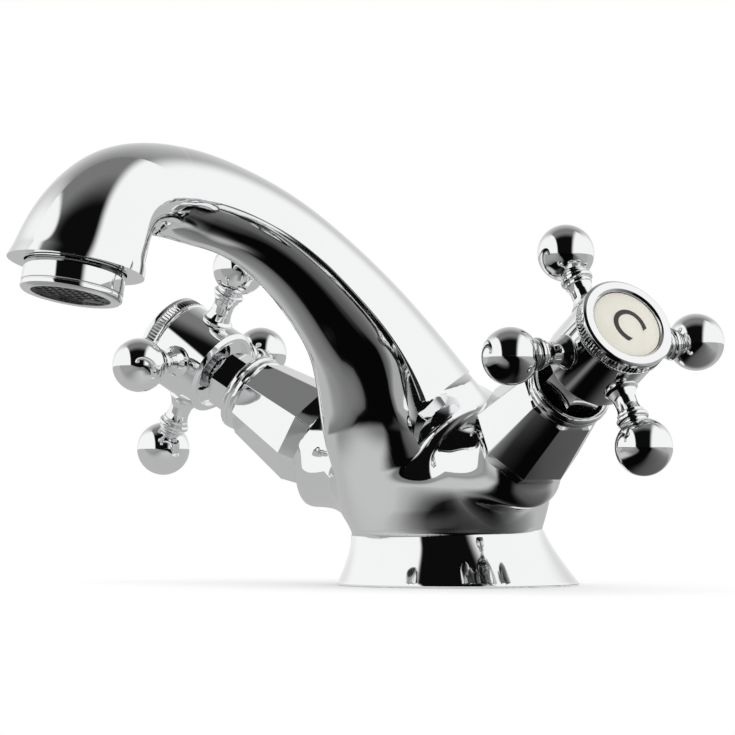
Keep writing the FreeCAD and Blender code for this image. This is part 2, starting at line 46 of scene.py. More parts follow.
print("frame loaded:", len(nodes), "nodes")


# small helpers for the node trees

def newMaterial(name):
    made = bpy.data.materials.new(name)
    made.use_nodes = True
    tree = made.node_tree
    return made, tree, tree.nodes["Principled BSDF"]


def addNode(tree, kind, **settings):
    node = tree.nodes.new(kind)
    for key, value in settings.items():
        setattr(node, key, value)
    return node


def noise(tree, coords, scale, detail=3.0, rough=0.55):
    node = addNode(tree, "ShaderNodeTexNoise")
    node.inputs["Scale"].default_value = scale
    node.inputs["Detail"].default_value = detail
    node.inputs["Roughness"].default_value = rough
    tree.links.new(coords, node.inputs["Vector"])
    return node.outputs["Fac"]


def spread(tree, value, fromLow, fromHigh, toLow, toHigh):
    node = addNode(tree, "ShaderNodeMapRange")
    node.inputs["From Min"].default_value = fromLow
    node.inputs["From Max"].default_value = fromHigh
    node.inputs["To Min"].default_value = toLow
    node.inputs["To Max"].default_value = toHigh
    tree.links.new(value, node.inputs["Value"])
    return node.outputs["Result"]


def ramp(tree, value, stops):
    node = addNode(tree, "ShaderNodeValToRGB")
    band = node.color_ramp
    for place, colour in stops[1:-1]:
        band.elements.new(place).color = (*colour, 1)
    band.elements[0].position, band.elements[0].color = stops[0][0], (*stops[0][1], 1)
    band.elements[-1].position, band.elements[-1].color = stops[-1][0], (*stops[-1][1], 1)
    tree.links.new(value, node.inputs["Fac"])
    return node.outputs["Color"]


def mottle(tree, shader, value, first, last, low=0.3, high=0.7):
    tree.links.new(ramp(tree, value, [(low, first), (high, last)]), shader.inputs["Base Color"])


def gloss(tree, shader, value, rough, low=0.3, high=0.7):
    tree.links.new(spread(tree, value, low, high, *rough), shader.inputs["Roughness"])


def bump(tree, shader, height, depth, strength):
    node = addNode(tree, "ShaderNodeBump")
    node.inputs["Distance"].default_value = depth
    node.inputs["Strength"].default_value = strength
    tree.links.new(height, node.inputs["Height"])
    tree.links.new(node.outputs["Normal"], shader.inputs["Normal"])


def objectCoords(tree, stretch=(1, 1, 1)):
    coords = addNode(tree, "ShaderNodeTexCoord")
    mapping = addNode(tree, "ShaderNodeMapping")
    mapping.inputs["Scale"].default_value = stretch
    tree.links.new(coords.outputs["Object"], mapping.inputs["Vector"])
    return mapping.outputs["Vector"]


# finishes: relief is the depth in metres and the strength of the bump

chromeLook = dict(
    colour=(0.90, 0.905, 0.91), hazed=0.985, rough=(0.018, 0.05), haze=45, hairlines=900,
    relief=(0.00002, 0.02),
)


def chromeFinish():
    made, tree, shader = newMaterial("polishedChrome")
    where = objectCoords(tree)
    cloud = noise(tree, where, chromeLook["haze"], 4.0)
    mottle(tree, shader, cloud, chromeLook["colour"], [c * chromeLook["hazed"] for c in chromeLook["colour"]])
    shader.inputs["Metallic"].default_value = 1.0
    gloss(tree, shader, cloud, chromeLook["rough"], high=0.75)
    bump(tree, shader, noise(tree, where, chromeLook["hairlines"], 2.0), *chromeLook["relief"])
    return made


steelLook = dict(
    light=(0.66, 0.67, 0.68), dark=(0.54, 0.55, 0.56), rough=(0.18, 0.34), drawn=3000, stretch=(1, 5, 1),
    relief=(0.00002, 0.1),
)


def steelFinish():
    made, tree, shader = newMaterial("drawnSteel")
    lines = noise(tree, objectCoords(tree, steelLook["stretch"]), steelLook["drawn"])
    mottle(tree, shader, lines, steelLook["light"], steelLook["dark"], 0.25, 0.8)
    shader.inputs["Metallic"].default_value = 1.0
    gloss(tree, shader, lines, steelLook["rough"])
    bump(tree, shader, lines, *steelLook["relief"])
    return made


ceramicLook = dict(light=(0.88, 0.88, 0.86), dark=(0.80, 0.80, 0.79), rough=(0.16, 0.3), grain=2200)


def ceramicFinish():
    made, tree, shader = newMaterial("lappedCeramic")
    grain = noise(tree, objectCoords(tree), ceramicLook["grain"])
    mottle(tree, shader, grain, ceramicLook["light"], ceramicLook["dark"], high=0.75)
    gloss(tree, shader, grain, ceramicLook["rough"])
    return made


glazeLook = dict(
    light=(0.80, 0.775, 0.69), dark=(0.745, 0.715, 0.62), rough=(0.16, 0.26), cloud=160, speckle=1400,
    coat=0.35, coatRough=0.08, relief=(0.00004, 0.1),
)


def glazeFinish():
    made, tree, shader = newMaterial("ivoryGlaze")
    where = objectCoords(tree)
    cloud = noise(tree, where, glazeLook["cloud"])
    mottle(tree, shader, cloud, glazeLook["light"], glazeLook["dark"], high=0.75)
    gloss(tree, shader, noise(tree, where, glazeLook["speckle"]), glazeLook["rough"])
    shader.inputs["Coat Weight"].default_value = glazeLook["coat"]
    shader.inputs["Coat Roughness"].default_value = glazeLook["coatRough"]
    bump(tree, shader, cloud, *glazeLook["relief"])
    return made


rubberLook = dict(
    light=(0.055, 0.055, 0.057), dark=(0.03, 0.03, 0.031), rough=(0.55, 0.75), grain=1800, detail=4.0,
    relief=(0.00005, 0.25),
)
plasticLook = dict(
    light=(0.05, 0.05, 0.054), dark=(0.028, 0.028, 0.031), rough=(0.32, 0.48), grain=1500, detail=3.0,
    relief=(0.00003, 0.15),
)
inkLook = dict(
    light=(0.035, 0.033, 0.03), dark=(0.015, 0.014, 0.013), rough=(0.3, 0.45), grain=2600, detail=3.0,
)
# near-black painted shade, put on the covers' mouths and under the dome's edge in place of chrome
paintedShadeLook = dict(
    light=(0.035, 0.034, 0.032), dark=(0.012, 0.012, 0.012), rough=(0.5, 0.7), grain=900, detail=4.0,
)


def darkFinish(name, look):  # rubber, plastic, enamel and the near-black painted shade for recesses are made the same way
    made, tree, shader = newMaterial(name)
    grain = noise(tree, objectCoords(tree), look["grain"], look["detail"])
    mottle(tree, shader, grain, look["dark"], look["light"])
    gloss(tree, shader, grain, look["rough"])
    if "relief" in look:
        bump(tree, shader, grain, *look["relief"])
    return made


chrome, steel, ceramic, glaze = chromeFinish(), steelFinish(), ceramicFinish(), glazeFinish()
rubber, plastic = darkFinish("mouldedRubber", rubberLook), darkFinish("darkMouldedPlastic", plasticLook)
# bore is the near-black painted shade for recesses
ink, bore = darkFinish("firedBlackEnamel", inkLook), darkFinish("paintedShadeBore", paintedShadeLook)
finishOf = dict(chrome=chrome, steel=steel, rubber=rubber, ceramic=ceramic, porcelain=glaze, plastic=plastic)
finishOf["brass"] = steel  # the brass spindles are nickel-plated
solidSharp = 25  # degrees
for part in frame["record"]["subparts"]:  # every node starts with its slot's finish
    mesh = nodes[part["node"]].data
    mesh.materials.clear()
    mesh.materials.append(finishOf[part["material_slot"]])
    mesh.shade_smooth()
    mesh.set_sharp_from_angle(angle=math.radians(solidSharp))
print("finishes:", len(bpy.data.materials))


# meshes

def makePiece(name, points, faces, finish, slot, body, *stoodFor, sharp=30):
    mesh = bpy.data.meshes.new(name)
    mesh.from_pydata([tuple(p) for p in np.asarray(points) * mm], [], faces)
    mesh.validate()
    mesh.shade_smooth()
    mesh.set_sharp_from_angle(angle=math.radians(sharp))
    mesh.materials.append(finish)
    piece = bpy.data.objects.new(name, mesh)
    bpy.context.scene.collection.objects.link(piece)
    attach(piece, body)
    if stoodFor:
        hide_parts(*stoodFor)
    return piece


def paintShadeFrom(piece, first):  # the faces from this one on get the near-black painted shade
    piece.data.materials.append(bore)
    for face in piece.data.polygons:
        face.material_index = int(face.index >= first)


# corners are (r, along, radius); a radius turns the corner into an arc
def roundOff(corners, stepDegrees=12):
    line = []
    for i, (r, along, radius) in enumerate(corners):
        here = np.array((r, along), float)
        if radius == 0 or i in (0, len(corners) - 1):
            line.append(here)
            continue
        back = np.array(corners[i - 1][:2], float) - here
        ahead = np.array(corners[i + 1][:2], float) - here
        back, ahead = back / np.linalg.norm(back), ahead / np.linalg.norm(ahead)
        half = math.acos(np.clip(back @ ahead, -1, 1)) / 2
        reach = radius / math.tan(half)
        centre = here + (back + ahead) / np.linalg.norm(back + ahead) * (radius / math.sin(half))
        first, last = here + back * reach - centre, here + ahead * reach - centre
        angle = math.pi - 2 * half
        steps = max(3, int(math.degrees(angle) / stepDegrees))
        for k in range(steps + 1):
            share = k / steps
            mixed = math.sin((1 - share) * angle) * first + math.sin(share * angle) * last
            line.append(centre + mixed / math.sin(angle))
    return line


def circleRing(count):
    turn = np.arange(count) * 2 * math.pi / count
    return np.stack([np.cos(turn), np.sin(turn)], 1)


def polar(r, angle):
    return np.array((r * math.cos(angle), r * math.sin(angle)))


def flatRing(sides, corner, arcSteps=6, flatSteps=4):  # polygon of half width 1 with rounded corners
    points = []
    half = math.pi / sides
    inner = (1 - corner) / math.cos(half)
    for i in range(sides):
        middle = (2 * i + 1) * half
        for k in range(arcSteps + 1):
            points.append(polar(inner, middle) + polar(corner, middle - half + 2 * half * k / arcSteps))
        start = points[-1]
        end = polar(inner, middle + 2 * half) + polar(corner, middle + half)
        points += [start + (end - start) * k / flatSteps for k in range(1, flatSteps)]
    return np.array(points)


def gridFaces(rows, count, around=False, over=False):  # around closes each row, over closes last row to first
    faces = []
    for i in range(rows if over else rows - 1):
        j = (i + 1) % rows
        for k in range(count if around else count - 1):
            n = (k + 1) % count
            faces.append((i * count + k, i * count + n, j * count + n, j * count + k))
    return faces


def ringAt(outline, r, along):
    return np.column_stack([outline * r, np.full(len(outline), along)])


def spin(rings, closed=False):  # rings are arrays of (x, y, z) rows of equal length
    return np.concatenate(rings), gridFaces(len(rings), len(rings[0]), around=True, over=closed)


def lathe(profile, count, closed=False):
    circle = circleRing(count)
    return spin([ringAt(circle, r, along) for r, along in profile], closed)


def turned(x, y, degrees):
    c, s = math.cos(math.radians(degrees)), math.sin(math.radians(degrees))
    return x * c - y * s, x * s + y * c


# where things sit on the valves

valve = dict(rise=30.0, lean=14.5, root=(0, -4.05, 13.5), turn=5.0, arms=4, armAlong=76.1)
sides = dict(cold=1, hot=-1)


def valveAxes(side):
    rise, lean = math.radians(valve["rise"]), math.radians(valve["lean"])
    level = math.cos(rise)
    along = np.array((side * level * math.cos(lean), -level * math.sin(lean), math.sin(rise)))
    upward = np.array((0, 0, 1)) - along * along[2]
    upward = upward / np.linalg.norm(upward)
    return upward, np.cross(along, upward), along


def onValve(points, side, turn=0.0):
    upward, across, along = valveAxes(side)
    p = np.asarray(points, float)
    x, y = turned(p[:, 0], p[:, 1], turn)
    return np.array(valve["root"]) + np.outer(x, upward) + np.outer(y, across) + np.outer(p[:, 2], along)


def alongArm(points, index):  # from the bench, where the arm stands on Z, to its place on the hub
    p = np.asarray(points, float)
    x, y = turned(p[:, 2], p[:, 1], 360 * index / valve["arms"])
    return np.column_stack([x, y, valve["armAlong"] - p[:, 0]])


# the body is one casting, so it is drawn as one smooth field in millimetres

tiny = 1e-9
farAway = 50.0


def softMin(a, b, k):
    h = np.maximum(k - np.abs(a - b), 0) / k
    return np.minimum(a, b) - h * h * k / 4


def softMax(a, b, k):
    return -softMin(-a, -b, k)


def ease(value):
    t = np.clip(value, 0, 1)
    return t * t * (3 - 2 * t)


def easeFrom(value, since, by):  # 0 at since, 1 at by
    return ease((value - since) / (by - since))


def splineThrough(knots, values):  # natural cubic through given stations
    knots, values = np.asarray(knots, float), np.asarray(values, float).reshape(len(knots), -1)
    gap, count = np.diff(knots), len(knots)
    a, b = np.zeros((count, count)), np.zeros_like(values)
    a[0, 0] = a[-1, -1] = 1
    for i in range(1, count - 1):
        a[i, i - 1:i + 2] = gap[i - 1], 2 * (gap[i - 1] + gap[i]), gap[i]
        b[i] = 6 * ((values[i + 1] - values[i]) / gap[i] - (values[i] - values[i - 1]) / gap[i - 1])
    bend = np.linalg.solve(a, b)

    def at(place, order=0):  # order 1 gives the slope and 2 the bend
        place = np.clip(place, knots[0], knots[-1])
        i = np.clip(np.searchsorted(knots, place) - 1, 0, count - 2)
        g = gap[i][..., None]
        left, right = (knots[i + 1] - place)[..., None], (place - knots[i])[..., None]
        if order == 2:
            return (bend[i] * left + bend[i + 1] * right) / g
        if order == 1:
            curve = (bend[i + 1] * right ** 2 - bend[i] * left ** 2) / (2 * g)
            return curve + (values[i + 1] - values[i]) / g - (bend[i + 1] - bend[i]) * g / 6
        curve = (bend[i] * left ** 3 + bend[i + 1] * right ** 3) / (6 * g)
        start, end = values[i] / g - bend[i] * g / 6, values[i + 1] / g - bend[i + 1] * g / 6
        return curve + start * left + end * right

    return at


flare = dict(
    heights=(0, 4.3, 8.5, 11.0, 13.0), radii=(27.5, 24.9, 22.8, 21.9, 21.4), shifts=(0, 1.1, 2.3, 3.1, 3.6),
    edge=0.8, neck=0.7, top=12.4,
)
flareLine = splineThrough(flare["heights"], np.column_stack([flare["radii"], flare["shifts"]]))


def flareField(x, y, z):
    line = flareLine(z)
    return np.maximum(np.hypot(x, y + line[..., 1]) - line[..., 0], z - flare["top"])


core = dict(y=-3.9, z=20.0, radii=(22.5, 24.0))


def ovalField(a, b, ra, rb):
    k0 = np.sqrt((a / ra) ** 2 + (b / rb) ** 2)
    k1 = np.sqrt((a / ra ** 2) ** 2 + (b / rb ** 2) ** 2) + tiny
    return k0 * (k0 - 1) / k1


def coreField(x, y, z):
    return ovalField(np.hypot(x, y - core["y"]), z - core["z"], *core["radii"])


# the saddle's cross-sections, from the middle plane out to an arm's end: along, lift, tall, wide
saddle = dict(
    middle=(0, -3.9, 28.0), middleR=(18.2, 21.5), planes=49,
    stations=((22.94, 3.85, 14.0, 16.0), (32.5, -1.7, 12.2, 11.5), (37.0, 0.0, 10.1, 10.1)),
    endAt=37.0, sleeveR=10.2, sleeveFrom=10.0, bore=8.85, boreFrom=31.0, coreBlend=6.0, sleeveBlend=1.5,
)


def saddleStations():
    upward, across, along = valveAxes(1)
    front = -across if across[1] > 0 else across
    rows = []
    for at, lift, tall, wide in saddle["stations"]:
        centre = np.array(valve["root"]) + along * at + upward * lift
        rows.append(np.concatenate([centre, upward * tall, front * wide]))
    tall, wide = saddle["middleR"]
    middle = np.concatenate([saddle["middle"], (0, 0, tall), (0, -wide, 0)])
    mirror = np.array((-1, 1, 1) * 3)
    last = len(rows)
    return splineThrough(np.arange(-last, last + 1), [r * mirror for r in rows[::-1]] + [middle] + rows)


saddleLine = saddleStations()
saddleSteps = np.linspace(0, len(saddle["stations"]), saddle["planes"])


def sectionSide(step, x, y, z):  # signed distance from one section's plane
    row = saddleLine(np.array(step))
    normal = np.cross(row[6:9], row[3:6])
    normal = normal / np.linalg.norm(normal)
    return (x - row[0]) * normal[0] + (y - row[1]) * normal[1] + (z - row[2]) * normal[2]


def saddleField(x, y, z):
    x = np.abs(x)
    shape = np.broadcast(x, y, z).shape
    place = np.zeros(shape)
    before = sectionSide(saddleSteps[0], x, y, z)
    for lastStep, step in zip(saddleSteps, saddleSteps[1:]):  # the section plane that holds the point
        side = sectionSide(step, x, y, z)
        share = np.clip(before / np.where(np.abs(before - side) < tiny, tiny, before - side), 0, 1)
        place = np.where((before <= 0) & (side > 0), lastStep + share * (step - lastStep), place)
        before = side
    place = np.where(before <= 0, saddleSteps[-1], place)
    row = saddleLine(place)
    tall, wide = np.linalg.norm(row[..., 3:6], axis=-1), np.linalg.norm(row[..., 6:9], axis=-1)
    offset = [np.broadcast_to(c, shape) - row[..., i] for i, c in enumerate((x, y, z))]
    a = sum(offset[i] * row[..., 3 + i] for i in range(3)) / tall
    b = sum(offset[i] * row[..., 6 + i] for i in range(3)) / wide
    return ovalField(a, b, tall, wide)


def armPlace(x, y, z):  # distance along a valve's axis and away from it
    along = valveAxes(1)[2]
    rel = (np.abs(x), y - valve["root"][1], z - valve["root"][2])
    t = sum(rel[i] * along[i] for i in range(3))
    off = np.sqrt(np.maximum(sum(c * c for c in rel) - t * t, tiny))
    return t, off


# spout stations: y, z, half width, dome height, keel depth
spout = dict(
    stations=(
        (-11.2, 17.2, 14.5, 28.6, 14.0),
        (-22.3, 33.6, 15.6, 28.2, 14.7),
        (-26.8, 44.1, 14.5, 22.4, 12.9),
        (-32.9, 55.0, 11.8, 16.0, 11.0),
        (-42.1, 64.2, 10.1, 13.2, 9.7),
        (-57.1, 74.6, 9.0, 11.4, 8.3),
        (-70.1, 79.8, 8.9, 11.2, 7.9),
        (-82.0, 82.4, 9.5, 11.7, 8.2),
        (-93.8, 82.7, 10.4, 12.2, 7.5),
        (-102.0, 80.9, 11.7, 12.4, 9.4),
        (-107.6, 76.7, 13.0, 12.7, 12.5),
        (-111.0, 72.5, 13.9, 12.8, 14.2),
        (-113.0, 68.0, 14.5, 13.75, 14.6),
        (-115.0, 63.4, 15.1, 14.8, 15.0),
    ),
    recess=0.9, recessBy=2.0, recessEnds=(-88.0, -80.0), creaseIn=0.3, creaseBy=1.2,
    keelLift=0.42, keelEnds=(-101.0, -82.0), neckLift=0.8,
    lipPoint=(-25.8, 40.5), lipAhead=(-0.315, 0.949), lipSoft=2.0, lipStep=2.6, lipFade=16.0,
    lipInset=1.0, insetOver=(-10.0, 0.0), foot=12.2, footBlend=0.6,
    blend=(2.5, 5.5), blendTop=(30.0, 22.0), blendFoot=(9.0, 17.0),
)
spoutTable = np.array(spout["stations"])
spoutKnots = np.concatenate([[0], np.cumsum(np.linalg.norm(np.diff(spoutTable[:, :2], axis=0), axis=1))])
spoutLine = splineThrough(spoutKnots, spoutTable)

search = dict(low=(-140, -10), high=(40, 110), places=260, rounds=4, flattest=0.3, stride=1.5)


def guessTable():  # nearest place on the spout's line, on a map of the middle plane in steps of 1 mm
    ys, zs = [np.arange(low, high + 1.0) for low, high in zip(search["low"], search["high"])]
    places = np.linspace(0, spoutKnots[-1], search["places"])
    line = spoutLine(places)
    gaps = (ys[:, None, None] - line[:, 0]) ** 2 + (zs[None, :, None] - line[:, 1]) ** 2
    return places[np.argmin(gaps, axis=2)]


spoutGuess = guessTable()


def spoutPlace(y, z):
    shape = np.broadcast(y, z).shape
    y, z = np.broadcast_to(y, shape), np.broadcast_to(z, shape)
    i = np.clip(np.rint(y - search["low"][0]).astype(int), 0, spoutGuess.shape[0] - 1)
    j = np.clip(np.rint(z - search["low"][1]).astype(int), 0, spoutGuess.shape[1] - 1)
    place = spoutGuess[i, j]
    for _ in range(search["rounds"]):
        here, heading, turn = spoutLine(place), spoutLine(place, 1), spoutLine(place, 2)
        dy, dz = y - here[..., 0], z - here[..., 1]
        miss = dy * heading[..., 0] + dz * heading[..., 1]
        slope = heading[..., 0] ** 2 + heading[..., 1] ** 2 - dy * turn[..., 0] - dz * turn[..., 1]
        move = np.clip(miss / np.maximum(slope, search["flattest"]), -search["stride"], search["stride"])
        place = np.clip(place + move, 0, spoutKnots[-1])
    row, heading = spoutLine(place), spoutLine(place, 1)
    length = np.hypot(heading[..., 0], heading[..., 1])
    dy, dz = y - row[..., 0], z - row[..., 1]
    rise = (dy * heading[..., 1] - dz * heading[..., 0]) / length
    behind = np.where(place <= 0, -(dy * heading[..., 0] + dz * heading[..., 1]) / length, -farAway)
    return rise, behind, row


def keelWidth(half, lift):
    return half / np.sqrt(1 - (lift / (1 + lift)) ** 2)


# boat keel: its oval sits above the crease, so the flanks lean in at once
def keelField(x, n, half, depth, lift):
    return ovalField(x, n - lift * depth, keelWidth(half, lift), (1 + lift) * depth)


def pastLip(y, z):  # distance beyond the plane of the hood's lip
    (lipY, lipZ), (aheadY, aheadZ) = spout["lipPoint"], spout["lipAhead"]
    return (y - lipY) * aheadY + (z - lipZ) * aheadZ


nose = dict(centre=(-113.0, 68.0), tilt=12.9, bore=10.9, boreDepth=4.0, cutBeyond=-80.0)


def nosePlace(y, z):  # distance behind the nose's axis and above its rim
    return turned(y - nose["centre"][0], z - nose["centre"][1], nose["tilt"])


def spoutFields(x, y, z):  # the spout without its hood, and the bore of the nose
    n, behind, row = spoutPlace(y, z)
    station, half, dome, keel = row[..., 0], row[..., 2], row[..., 3], row[..., 4]
    back, h = nosePlace(y, z)
    bare, boat = easeFrom(station, *spout["recessEnds"]), easeFrom(station, *spout["keelEnds"])
    past = pastLip(y, z)
    above = ease(past / spout["lipSoft"])  # 1 under the hood, 0 on the bare neck
    below = 1 - ease(past / spout["lipFade"])
    inset = spout["lipInset"] * below * easeFrom(n, *spout["insetOver"])
    lift = spout["keelLift"] * boat + (spout["neckLift"] - spout["keelLift"]) * below
    narrow = half - inset - spout["creaseIn"] * bare
    under = keelField(x, n, narrow, keel, lift)
    over = ovalField(x, n, half, dome) + spout["recess"] * bare * above * ease(n / spout["recessBy"])
    crown = dome - spout["lipStep"] - lift * keel
    neck = ovalField(x, n - lift * keel, keelWidth(narrow, lift), crown)
    neck = np.where(n > lift * keel, neck, under)
    over = neck + (over - neck) * above
    belly = np.maximum(np.where(n > spout["creaseBy"] * bare * above, over, under), behind)
    belly = np.maximum(belly, np.where(y < nose["cutBeyond"], -h, -farAway))
    return belly, np.maximum(np.hypot(x, back) - nose["bore"], h - nose["boreDepth"])


# holes of the underside: x, y, r, depth
underside = dict(
    holes=((8.384, -6.218, 4.5, 11.0), (0, 9.0, 3.4, 14.0)), sealOuter=24.5, sealInner=21.5, sealDepth=2.0,
)


def bodyField(x, y, z):
    t, off = armPlace(x, y, z)
    beyond = t - saddle["endAt"]
    lump = softMin(coreField(x, y, z), np.maximum(saddleField(x, y, z), beyond), saddle["coreBlend"])
    sleeve = np.maximum(np.maximum(off - saddle["sleeveR"], beyond), saddle["sleeveFrom"] - t)
    lump = softMin(lump, sleeve, saddle["sleeveBlend"])
    belly, noseBore = spoutFields(x, y, z)
    wider = easeFrom(z, *spout["blendTop"]) * easeFrom(z, *spout["blendFoot"])
    belly = softMin(belly, lump, spout["blend"][0] + spout["blend"][1] * wider)
    solid = softMax(belly, spout["foot"] - z, spout["footBlend"])
    solid = softMin(solid, flareField(x, y, z), flare["neck"])
    solid = softMax(solid, -z, flare["edge"])
    armBore = np.maximum(off - saddle["bore"], saddle["boreFrom"] - t)
    solid = np.maximum(solid, -np.minimum(noseBore, armBore))
    for px, py, r, depth in underside["holes"]:
        solid = np.maximum(solid, -np.maximum(np.hypot(np.abs(x) - px, y - py) - r, z - depth))
    flat = np.hypot(x, y)
    ring = np.maximum(flat - underside["sealOuter"], underside["sealInner"] - flat)
    return np.maximum(solid, -np.maximum(ring, z - underside["sealDepth"]))


def slopeAt(field, p, eps=0.02):
    made = np.empty_like(p)
    for i in range(3):
        shift = np.zeros(3)
        shift[i] = eps
        made[:, i] = field(*(p + shift).T) - field(*(p - shift).T)
    return made / (np.linalg.norm(made, axis=1, keepdims=True) + tiny)


# the casting's cells in mm; the half at x > 0 is worked out and mirrored
casting = dict(
    cell=0.55, quickCell=0.9, lowY=-131.0, lowZ=-1.3, high=(44.0, 31.0, 98.0), nudge=1e-7, rounds=4,
    hold=0.03, reach=0.7, crispUnder=0.965, inward=0.45,
)


def contour(field, cell):  # dual contouring, so that edges stay crisp
    half = np.arange(0.5 * cell, casting["high"][0] + cell, cell)
    ys = np.arange(casting["lowY"], casting["high"][1] + cell, cell)
    zs = np.arange(casting["lowZ"], casting["high"][2] + cell, cell)
    values = field(half[:, None, None], ys[None, :, None], zs[None, None, :]) + casting["nudge"]
    values = np.concatenate([values[::-1], values])
    origin = np.array((-half[-1], ys[0], zs[0]))
    shape = values.shape
    inside = values < 0
    cells, points, quads = [], [], []
    for axis in range(3):
        first = [slice(None)] * 3
        second = [slice(None)] * 3
        first[axis], second[axis] = slice(0, -1), slice(1, None)
        first, second = tuple(first), tuple(second)
        at = np.argwhere(inside[first] != inside[second])
        v0, v1 = values[first][tuple(at.T)], values[second][tuple(at.T)]
        lo, hi = np.zeros(len(at)), np.ones(len(at))
        guess = v0 / (v0 - v1)
        start = origin + at * cell
        for _ in range(casting["rounds"]):  # false position with a bisection guard
            p = start.copy()
            p[:, axis] += guess * cell
            v = field(*p.T)
            same = np.sign(v) == np.sign(v0)
            lo, v0 = np.where(same, guess, lo), np.where(same, v, v0)
            hi, v1 = np.where(same, hi, guess), np.where(same, v1, v)
            guess = np.clip(lo + (hi - lo) * v0 / np.where(v0 == v1, 1, v0 - v1), lo, hi)
        start[:, axis] += guess * cell
        others = [i for i in range(3) if i != axis]
        around = []
        for da, db in ((-1, -1), (0, -1), (0, 0), (-1, 0)):
            corner = at.copy()
            corner[:, others[0]] += da
            corner[:, others[1]] += db
            around.append((corner[:, 0] * shape[1] + corner[:, 1]) * shape[2] + corner[:, 2])
        around = np.stack(around, 1)
        outward = inside[first][tuple(at.T)]
        flip = outward if axis != 1 else ~outward
        quads.append(np.where(flip[:, None], around, around[:, ::-1]))
        cells.append(around)
        points.append(start)
    points = np.concatenate(points)
    normals = slopeAt(field, points)
    ids, index = np.unique(np.concatenate(cells), return_inverse=True)
    index = index.ravel()
    count = np.bincount(index, minlength=len(ids)).astype(float)

    def gather(rows):  # sums over each cell's crossings
        return np.stack([np.bincount(index, np.repeat(column, 4), len(ids)) for column in rows.T], 1)

    mass = gather(points) / count[:, None]
    matrix = gather((normals[:, :, None] * normals[:, None, :]).reshape(-1, 9)).reshape(-1, 3, 3)
    right = gather(normals * np.sum(normals * points, 1, keepdims=True))
    pull = matrix + np.eye(3) * (casting["hold"] * count)[:, None, None]
    move = np.linalg.solve(pull, (right - np.einsum("nij,nj->ni", matrix, mass))[..., None])[..., 0]
    verts = mass + np.clip(move, -casting["reach"] * cell, casting["reach"] * cell)
    crisp = np.linalg.norm(gather(normals) / count[:, None], axis=1) < casting["crispUnder"]
    return verts, np.searchsorted(ids, np.concatenate(quads)), crisp


def bodyPiece():
    verts, faces, crisp = contour(bodyField, casting["cell"])
    perLoop = slopeAt(bodyField, verts)[faces]
    face, corner = np.nonzero(crisp[faces])  # at an edge, the normal comes from a little way into the face
    inward = casting["inward"]
    probe = verts[faces[face, corner]] * (1 - inward) + verts[faces].mean(1)[face] * inward
    perLoop[face, corner] = slopeAt(bodyField, probe)
    verts[:, 2] = np.maximum(verts[:, 2], 0)
    quads = faces.tolist()
    piece = makePiece("mixer_body_casting", verts, quads, chrome, "chrome", "body", "mixer_body", sharp=180)
    piece.data.normals_split_custom_set(perLoop.reshape(-1, 3).tolist())
    print("body casting:", len(verts), "points,", len(quads), "faces")


bodyPiece()

# the dome over the spout is a clean sweep with a rounded edge all round
hood = dict(
    proud=0.28, sink=0.38, sinkFrom=-62.0, sinkBy=-97.0, edge=0.25, edgeTurns=(15, 30, 45, 60, 75, 90),
    tuck=3.0, across=64, along=150, lipBefore=60.0, rounds=40,
)


def hoodPoint(place, share):  # share runs from -1 on one edge to 1 on the other
    row, heading = spoutLine(place), spoutLine(place, 1)
    length = np.hypot(heading[..., 0], heading[..., 1])
    half, dome = row[..., 2], row[..., 3]
    proud = hood["proud"] - hood["sink"] * easeFrom(row[..., 0], hood["sinkFrom"], hood["sinkBy"])
    n = (dome + proud) * np.cos(share * math.pi / 2)
    y = row[..., 0] + n * heading[..., 1] / length
    z = row[..., 1] - n * heading[..., 0] / length
    return np.stack([(half + proud) * np.sin(share * math.pi / 2), y, z], -1)


def hoodMesh():
    shares = np.linspace(-1, 1, hood["across"] + 1)
    low, high = np.zeros(len(shares)), np.full(len(shares), hood["lipBefore"])
    for _ in range(hood["rounds"]):  # where each line of the dome meets the lip's plane
        middle = (low + high) / 2
        p = hoodPoint(middle, shares)
        short = pastLip(p[:, 1], p[:, 2]) < hood["edge"]
        low, high = np.where(short, middle, low), np.where(short, high, middle)
    end = np.interp(hood["sinkBy"], spoutTable[::-1, 0], spoutKnots[::-1])
    runs = np.linspace(0, 1, hood["along"] + 1)[:, None]
    places = low * (1 - runs) + end * runs
    grid = hoodPoint(places, np.broadcast_to(shares, places.shape))
    index = np.arange(places.size).reshape(places.shape)
    points = grid.reshape(-1, 3)
    faces = np.stack([index[:-1, :-1], index[1:, :-1], index[1:, 1:], index[:-1, 1:]], -1).reshape(-1, 4)
    normal = np.cross(np.gradient(grid, axis=0), np.gradient(grid, axis=1))
    normal /= np.linalg.norm(normal, axis=-1, keepdims=True)
    loop = np.concatenate([index[::-1, 0], index[0, 1:-1], index[:, -1]])  # one edge, the lip, the other edge
    rim, up = points[loop], normal.reshape(-1, 3)[loop]
    outward = np.cross(np.gradient(rim, axis=0), up)
    outward /= np.linalg.norm(outward, axis=1, keepdims=True)
    r = hood["edge"]
    turns = [(r * math.sin(a), r * (1 - math.cos(a))) for a in np.radians(hood["edgeTurns"])]
    made, last = [points], loop
    for out, drop in turns + [(r, r + hood["tuck"])]:
        strip = np.arange(len(loop)) + sum(len(m) for m in made)
        made.append(rim + outward * out - up * drop)
        faces = np.concatenate([faces, np.stack([last[:-1], last[1:], strip[1:], strip[:-1]], -1)])
        last = strip
    return np.concatenate(made), faces.tolist(), len(faces) - len(loop) + 1


points, faces, tuckFrom = hoodMesh()
dome = makePiece("spout_dome", points, faces, chrome, "chrome", "body", "mixer_body", sharp=60)
paintShadeFrom(dome, tuckFrom)  # the return under the edge is painted near-black: painted shade under the lip
print("spout dome:", len(faces), "faces")


